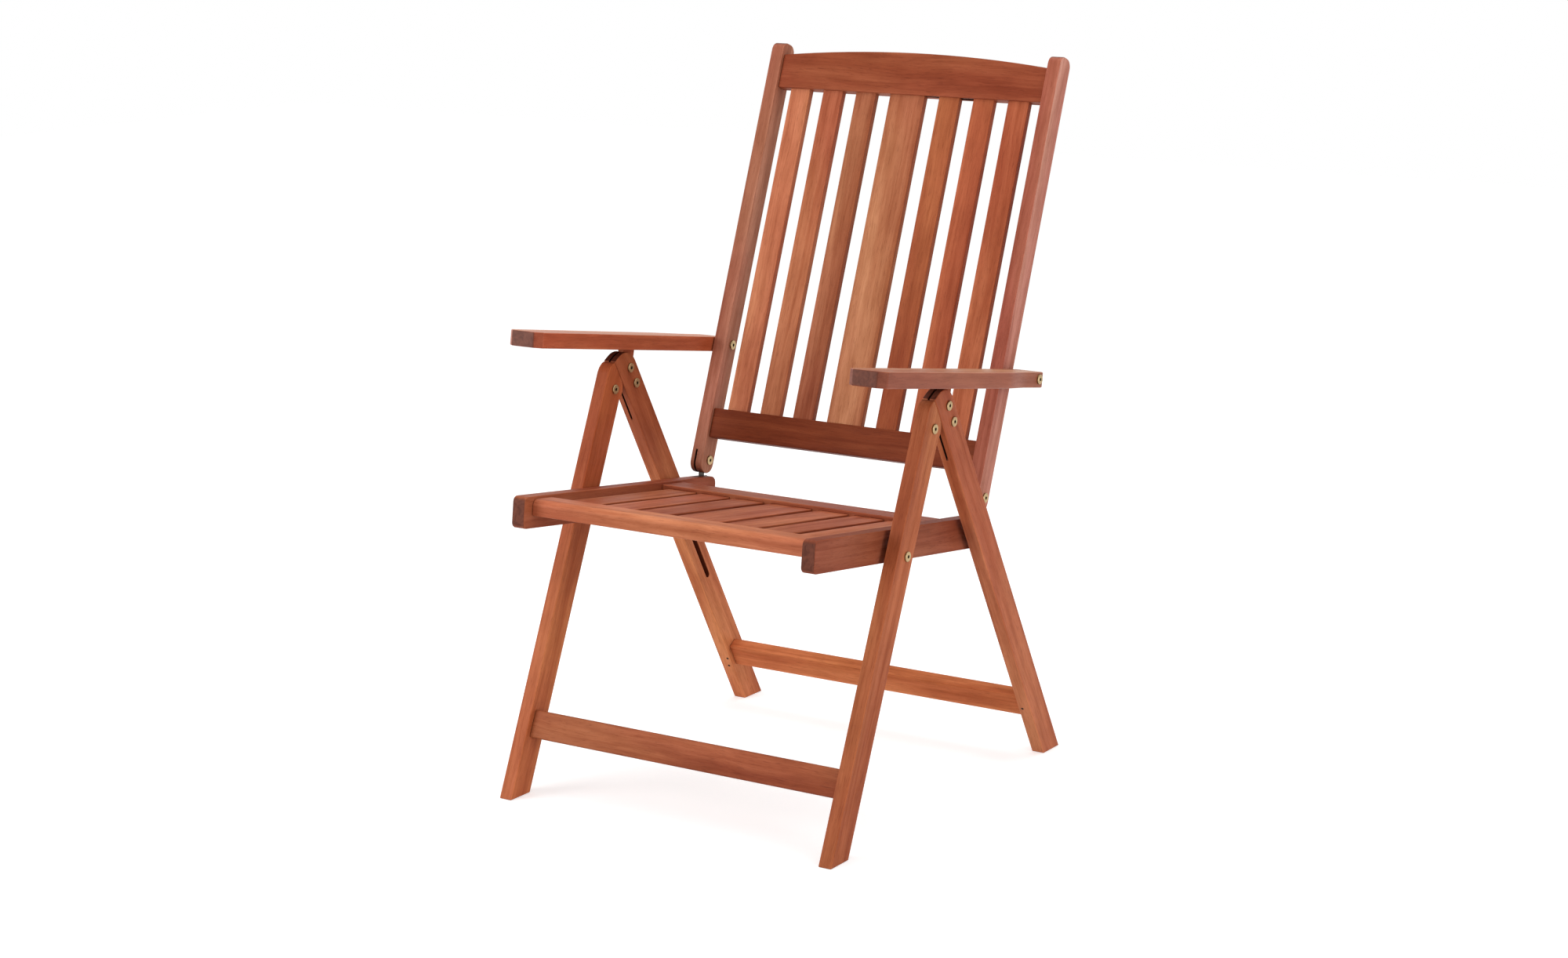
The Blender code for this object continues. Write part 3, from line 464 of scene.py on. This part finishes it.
# Painted sheen: the arms' upper faces are painted paler for the sheen of their oiled tops
TOP_SHEEN = (1.60, 2.45, 2.75)
FAR_TOP_SHEEN = (1.15, 1.75, 2.00)
board("armrest_left", rising(ARM_RISE), 52.1, (0.70, 0.68, 0.76), oil=0.65, top=TOP_SHEEN)
board("armrest_right", rising(ARM_RISE), 53.9, (1.22, 1.05, 1.00), oil=0.65, top=FAR_TOP_SHEEN)

# Hinge plates: flat mild steel, sawn into the legs' heads and into the feet of the stiles, the
# leg plates bright zinc and the back plates darker. Pins of the same steel hold them.
METAL_CLOUD = (240.0, 240.0, 3.0, 0.6)
TARNISHED_PATCHES = (0.40, 0.70)
TARNISH = 0.70
DULL_PATCHES = (0.3, 0.7)
DEBURRED = 0.00025
DEBURRED_ANGLE = 60.0
ZINC = (0.34, 0.33, 0.31)
DARK_STEEL = (0.11, 0.10, 0.09)


def metal(name, colour, shiny, dull):
    """A metal that is tarnished and dulled in patches a few millimetres wide."""
    made, tree, shader = new_finish(name)
    place = tree.nodes.new("ShaderNodeTexCoord")
    cloud = streaks(tree, place.outputs["Object"], *METAL_CLOUD)
    darker = tuple(TARNISH * part for part in colour)
    patches = stain(tree, between(tree, cloud, *TARNISHED_PATCHES), colour, darker)
    link(tree, patches, shader.inputs["Base Color"])
    link(tree, between(tree, cloud, *DULL_PATCHES, shiny, dull), shader.inputs["Roughness"])
    shader.inputs["Metallic"].default_value = 1.0
    return made


def fitting(name, material):
    """Finish a packed metal part."""
    piece = dress(name, material)
    ease(piece, "deburred_edge", DEBURRED, DEBURRED_ANGLE)
    piece.modifiers.new("soft_shading", "WEIGHTED_NORMAL")


zinc = metal("zinc_steel", ZINC, shiny=0.38, dull=0.55)
dark_steel = metal("dark_steel", DARK_STEEL, shiny=0.42, dull=0.60)
for side in ("left", "right"):
    fitting("leg_hinge_plate_" + side, zinc)
    fitting("back_hinge_plate_" + side, dark_steel)
    fitting("back_plate_pin_%s_front" % side, dark_steel)
    fitting("back_plate_pin_%s_rear" % side, dark_steel)

# Spacers, washers and slide pins: turned brass rings that keep the moving boards apart, and
# the brass pins that run in the rear legs' grooves.
BRASS = (0.52, 0.37, 0.19)
brass = metal("brass", BRASS, shiny=0.30, dull=0.48)
for side in ("left", "right"):
    fitting("seat_pivot_spacer_" + side, brass)
    fitting("armrest_washer_" + side, brass)
    fitting("slide_pin_" + side, brass)

# Bolts: brass sleeve bolts through the boards, a shallow round head with a hexagon socket on
# each side. One tree of nodes turns every pair of heads and its shank; each keeps its place.
HEAD_STAND = 0.0025
HEAD_SIZES = {
    "Head Radius": 0.00735, "Head Height": HEAD_STAND, "Head Chamfer": 0.0006,
    "Socket Width": 0.0048, "Socket Depth": 0.0017,
}
BOLTS = {
    "front_legs": ("leg_pivot_bolt_left", "leg_pivot_bolt_right", "seat_pivot_bolt_left",
                   "seat_pivot_bolt_right"),
    "rear_legs": ("leg_plate_bolt_left_upper", "leg_plate_bolt_left_lower",
                  "leg_plate_bolt_right_upper", "leg_plate_bolt_right_lower"),
    "back": ("back_pivot_bolt_left", "back_pivot_bolt_right", "armrest_bolt_left",
             "armrest_bolt_right"),
}
SHANK_RADIUS = 0.0030
HEAD_SIDES = 48
SHANK_SIDES = 24
CORNER_PER_WIDTH = 0.57735
SHARP_ANGLE = 30.0
# Painted shade in the socket and round the head's foot
RIM_SHADE = 0.45
SOCKET_SHADE = (0.030, 0.020, 0.013)


def node_in(tree, kind, links, **settings):
    node = tree.nodes.new(kind)
    for name, value in settings.items():
        setattr(node, name, value)
    for key, value in links.items():
        socket = node.inputs[key]
        if isinstance(value, bpy.types.NodeSocket):
            tree.links.new(value, socket)
        else:
            socket.default_value = value
    return node


def new_tree(name, sizes, product):
    """A tree of nodes that takes points, sizes and a metal, with the sockets that it is given."""
    tree = bpy.data.node_groups.new(name, "GeometryNodeTree")
    tree.interface.new_socket("Points", in_out="INPUT", socket_type="NodeSocketGeometry")
    for size in sizes:
        tree.interface.new_socket(size, in_out="INPUT", socket_type="NodeSocketFloat")
    tree.interface.new_socket("Metal", in_out="INPUT", socket_type="NodeSocketMaterial")
    tree.interface.new_socket(product, in_out="OUTPUT", socket_type="NodeSocketGeometry")
    return tree, tree.nodes.new("NodeGroupInput").outputs


def end_tree(tree, shape, coat):
    """Make each copy real, coat it and hand it out."""
    real = node_in(tree, "GeometryNodeRealizeInstances", {"Geometry": shape})
    coated = node_in(tree, "GeometryNodeSetMaterial",
                     {"Geometry": real.outputs[0], "Material": coat})
    link(tree, coated.outputs[0], tree.nodes.new("NodeGroupOutput").inputs[0])


def bolt_tree():
    tree, given = new_tree("bolt_heads", (*HEAD_SIZES, "Shank Radius"), "Bolts")

    def value(operation, first, second=0.0):
        node = node_in(tree, "ShaderNodeMath", {0: first, 1: second}, operation=operation)
        return node.outputs[0]

    def column(x=0.0, y=0.0, z=0.0):
        return node_in(tree, "ShaderNodeCombineXYZ", {"X": x, "Y": y, "Z": z}).outputs[0]

    def lifted(shape, height):
        return node_in(tree, "GeometryNodeTransform",
                       {"Geometry": shape, "Translation": column(z=height)}).outputs[0]

    wall = value("SUBTRACT", given["Head Height"], given["Head Chamfer"])
    disc = node_in(tree, "GeometryNodeMeshCylinder",
                   {"Vertices": HEAD_SIDES, "Radius": given["Head Radius"], "Depth": wall})
    raised = node_in(tree, "GeometryNodeExtrudeMesh",
                     {"Mesh": disc.outputs["Mesh"], "Selection": disc.outputs["Top"],
                      "Offset Scale": given["Head Chamfer"]})
    crown = value("SUBTRACT", 1.0, value("DIVIDE", given["Head Chamfer"], given["Head Radius"]))
    turned = node_in(tree, "GeometryNodeScaleElements",
                     {"Geometry": raised.outputs["Mesh"], "Selection": raised.outputs["Top"],
                      "Scale": crown})
    head = lifted(turned.outputs[0], value("MULTIPLY", wall, 0.5))
    key = node_in(tree, "GeometryNodeMeshCylinder",
                  {"Vertices": 6,
                   "Radius": value("MULTIPLY", given["Socket Width"], CORNER_PER_WIDTH),
                   "Depth": value("MULTIPLY", given["Socket Depth"], 2.0)})
    socket = node_in(tree, "GeometryNodeMeshBoolean", {"Mesh 1": head}, operation="DIFFERENCE",
                     solver="EXACT")
    link(tree, lifted(key.outputs["Mesh"], given["Head Height"]), socket.inputs["Mesh 2"])

    # Painted shade in the socket, and less of it round the rim as a painted contact shadow, by
    # depth below the face
    spot = parts_of(tree, tree.nodes.new("GeometryNodeInputPosition").outputs[0])
    radius = value("POWER", value("ADD", value("MULTIPLY", spot["X"], spot["X"]),
                                  value("MULTIPLY", spot["Y"], spot["Y"])), 0.5)
    inside = value("LESS_THAN", radius, given["Socket Width"])
    below = value("SUBTRACT", given["Head Height"], spot["Z"])
    sunk = value("DIVIDE", below, given["Socket Depth"])
    share = value("ADD", value("MULTIPLY", inside, 1.0 - RIM_SHADE), RIM_SHADE)
    shaded = node_in(tree, "GeometryNodeStoreNamedAttribute",
                     {"Geometry": socket.outputs["Mesh"], "Name": "painted_shade",
                      "Value": value("MULTIPLY", share, sunk)}, data_type="FLOAT", domain="POINT")

    reach = node_in(tree, "GeometryNodeInputNamedAttribute", {"Name": "reach"},
                    data_type="FLOAT").outputs["Attribute"]
    joined = tree.nodes.new("GeometryNodeJoinGeometry")
    for seed, way in enumerate((1.0, -1.0), 3):
        aside = column(x=value("MULTIPLY", reach, way))
        ends = node_in(tree, "GeometryNodeSetPosition",
                       {"Geometry": given["Points"], "Offset": aside})
        placed = node_in(tree, "GeometryNodeInstanceOnPoints",
                         {"Points": ends.outputs[0], "Instance": shaded.outputs[0],
                          "Rotation": (0.0, way * math.pi / 2, 0.0)})
        chance = node_in(tree, "FunctionNodeRandomValue", {"Seed": seed}, data_type="FLOAT")
        chance.inputs[2].default_value = 0.0
        chance.inputs[3].default_value = math.pi / 3
        spun = node_in(tree, "GeometryNodeRotateInstances",
                       {"Instances": placed.outputs[0], "Rotation": column(z=chance.outputs[1]),
                        "Local Space": True})
        link(tree, spun.outputs[0], joined.inputs[0])
    rod = node_in(tree, "GeometryNodeMeshCylinder",
                  {"Vertices": SHANK_SIDES, "Radius": given["Shank Radius"], "Depth": 2.0})
    shank = node_in(tree, "GeometryNodeInstanceOnPoints",
                    {"Points": given["Points"], "Instance": rod.outputs["Mesh"],
                     "Rotation": (0.0, math.pi / 2, 0.0), "Scale": column(1.0, 1.0, reach)})
    link(tree, shank.outputs[0], joined.inputs[0])
    end_tree(tree, joined.outputs[0], given["Metal"])
    return tree


def made_by_tree(name, tree, points, settings, attribute=None):
    """Run a tree of nodes on bare points and keep the result as a plain mesh."""
    seed_mesh = bpy.data.meshes.new(name)
    seed_mesh.from_pydata([point[:3] for point in points], [], [])
    if attribute:
        layer = seed_mesh.attributes.new(attribute, "FLOAT", "POINT")
        layer.data.foreach_set("value", [point[3] for point in points])
    piece = bpy.data.objects.new(name, seed_mesh)
    bpy.context.scene.collection.objects.link(piece)
    run = piece.modifiers.new("tree", "NODES")
    run.node_group = tree
    sockets = {item.name: item.identifier for item in tree.interface.items_tree
               if item.item_type == "SOCKET" and item.in_out == "INPUT"}
    for key, value in settings.items():
        run[sockets[key]] = value
    seen = piece.evaluated_get(bpy.context.evaluated_depsgraph_get())
    plain = bpy.data.meshes.new_from_object(seen)
    piece.modifiers.clear()
    piece.data = plain
    plain.name = name
    plain.shade_smooth()
    plain.set_sharp_from_angle(angle=math.radians(SHARP_ANGLE))
    return piece


# Painted shade in the bolts' sockets and round their rims
socket_brass = metal("socket_brass", BRASS, shiny=0.30, dull=0.48)
painted_shade = socket_brass.node_tree.nodes.new("ShaderNodeAttribute")
painted_shade.attribute_name = "painted_shade"
stain_over(socket_brass.node_tree, painted_shade.outputs["Fac"], SOCKET_SHADE)

heads = bolt_tree()
for body, names in BOLTS.items():
    places = []
    for name in names:
        low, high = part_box(name)
        middle = (low + high) / 2
        places.append((*middle, (high.x - low.x) / 2 - HEAD_STAND))
    settings = {**HEAD_SIZES, "Shank Radius": SHANK_RADIUS, "Metal": socket_brass}
    piece = made_by_tree("bolts_of_" + body, heads, places, settings, "reach")
    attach(piece, body)
    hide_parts(*names)

# Nails: small steel pins driven through the rear legs' front faces into the stretcher's
# tenons, set flush and tarnished nearly black. The right leg has a second one below the first.
REAR_LEG_FRONT = 0.02205
NAILS = ((0.2754, -0.5891), (-0.2735, -0.5939), (-0.2760, -0.6106))
NAIL_SIZES = {"Head Radius": 0.0022, "Dome Height": 0.0005}
NAIL_SIDES = 20
NAIL_RINGS = 10
TARNISHED_STEEL = (0.040, 0.024, 0.018)


def nail_tree():
    tree, given = new_tree("nail_heads", NAIL_SIZES, "Nails")
    ball = node_in(tree, "GeometryNodeMeshUVSphere",
                   {"Segments": NAIL_SIDES, "Rings": NAIL_RINGS, "Radius": given["Head Radius"]})
    flatness = node_in(tree, "ShaderNodeMath", {0: given["Dome Height"], 1: given["Head Radius"]},
                       operation="DIVIDE").outputs[0]
    shape = node_in(tree, "ShaderNodeCombineXYZ", {"X": 1.0, "Y": 1.0, "Z": flatness})
    placed = node_in(tree, "GeometryNodeInstanceOnPoints",
                     {"Points": given["Points"], "Instance": ball.outputs["Mesh"],
                      "Rotation": (lean, 0.0, 0.0), "Scale": shape.outputs[0]})
    end_tree(tree, placed.outputs[0], given["Metal"])
    return tree


places = [
    (x, LEG_FRAME_AT[0] + along * math.cos(lean) + REAR_LEG_FRONT * math.sin(lean),
     LEG_FRAME_AT[1] + along * math.sin(lean) - REAR_LEG_FRONT * math.cos(lean))
    for x, along in NAILS
]
tarnished = metal("tarnished_steel", TARNISHED_STEEL, shiny=0.50, dull=0.70)
nails = made_by_tree("tenon_nails", nail_tree(), places, {**NAIL_SIZES, "Metal": tarnished})
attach(nails, "rear_legs")

# Studio: a pale paper floor that keeps the chair's soft shadow, a bright surround, and three
# large soft lamps: one in front on the left, one low on the right and one above.
FLOOR_HALF = 8.0
FLOOR_TONE = 0.80
FLOOR_DULLNESS = 0.9
FLOOR_LIFT = 0.48
SURROUND = 0.66
WHITE = (1.0, 1.0, 1.0, 1.0)

# Each lamp's place, what it is aimed at, its width in metres and its power in watts
LAMPS = {
    "front_lamp": ((-2.4, -2.8, 1.3), (0.0, 0.0, 0.5), 2.0, 60.0),
    "right_lamp": ((4.0, -1.0, 0.7), (0.0, 0.0, 0.4), 2.4, 58.0),
    "top_lamp": ((0.2, 0.3, 3.2), (0.0, 0.0, 0.5), 2.2, 30.0),
}


def seen_rays(tree):
    """One for the rays that show a background: camera, glossy and transmission rays."""
    path = tree.nodes.new("ShaderNodeLightPath")
    seen = maths(tree, "MAXIMUM", path.outputs["Is Camera Ray"], path.outputs["Is Glossy Ray"])
    return maths(tree, "MAXIMUM", seen, path.outputs["Is Transmission Ray"])


mesh = bpy.data.meshes.new("floor")
maker = bmesh.new()
bmesh.ops.create_grid(maker, x_segments=1, y_segments=1, size=FLOOR_HALF)
maker.to_mesh(mesh)
maker.free()
floor = bpy.data.objects.new("floor", mesh)
bpy.context.scene.collection.objects.link(floor)
paper, tree, shader = new_finish("floor")
shader.inputs["Base Color"].default_value = (FLOOR_TONE, FLOOR_TONE, FLOOR_TONE, 1.0)
shader.inputs["Roughness"].default_value = FLOOR_DULLNESS
shader.inputs["Specular IOR Level"].default_value = 0.0
shader.inputs["Emission Color"].default_value = WHITE
lift = maths(tree, "MULTIPLY", seen_rays(tree), FLOOR_LIFT)
link(tree, lift, shader.inputs["Emission Strength"])
floor.data.materials.append(paper)

world = bpy.data.worlds.new("studio")
bpy.context.scene.world = world
world.use_nodes = True
tree = world.node_tree
surround = tree.nodes["Background"]
surround.inputs["Color"].default_value = WHITE
link(tree, between(tree, seen_rays(tree), 0.0, 1.0, SURROUND, 1.0), surround.inputs["Strength"])

for name, (place, aim, size, power) in LAMPS.items():
    lamp = bpy.data.lights.new(name, "AREA")
    lamp.shape = "SQUARE"
    lamp.size = size
    lamp.energy = power
    holder = bpy.data.objects.new(name, lamp)
    holder.location = place
    holder.rotation_euler = (Vector(aim) - Vector(place)).to_track_quat("-Z", "Y").to_euler()
    bpy.context.scene.collection.objects.link(holder)

# Camera: a long lens in front of the chair's left arm, its place and turn fitted to the long
# edges and the feet in the photograph.
FOCAL_PIXELS = 3851.65
PHOTO_WIDTH = 2000.0
SENSOR = 36.0
EYE = (2.3643, -3.77870, 1.4310)
YAW, PITCH, ROLL = (math.radians(angle) for angle in (32.273, 12.348, -0.195))
ahead = Vector((-math.sin(YAW) * math.cos(PITCH), math.cos(YAW) * math.cos(PITCH),
                -math.sin(PITCH)))
level = Vector((math.cos(YAW), math.sin(YAW), 0.0))
down = ahead.cross(level)
right = level * math.cos(ROLL) + down * math.sin(ROLL)
up = level * math.sin(ROLL) - down * math.cos(ROLL)
lens = bpy.data.cameras.new("camera")
lens.sensor_width = SENSOR
lens.lens = FOCAL_PIXELS * SENSOR / PHOTO_WIDTH
camera = bpy.data.objects.new("camera", lens)
camera.matrix_world = Matrix.Translation(EYE) @ Matrix((right, up, -ahead)).transposed().to_4x4()
bpy.context.scene.collection.objects.link(camera)
bpy.context.scene.camera = camera
bpy.context.scene.view_settings.view_transform = "Standard"
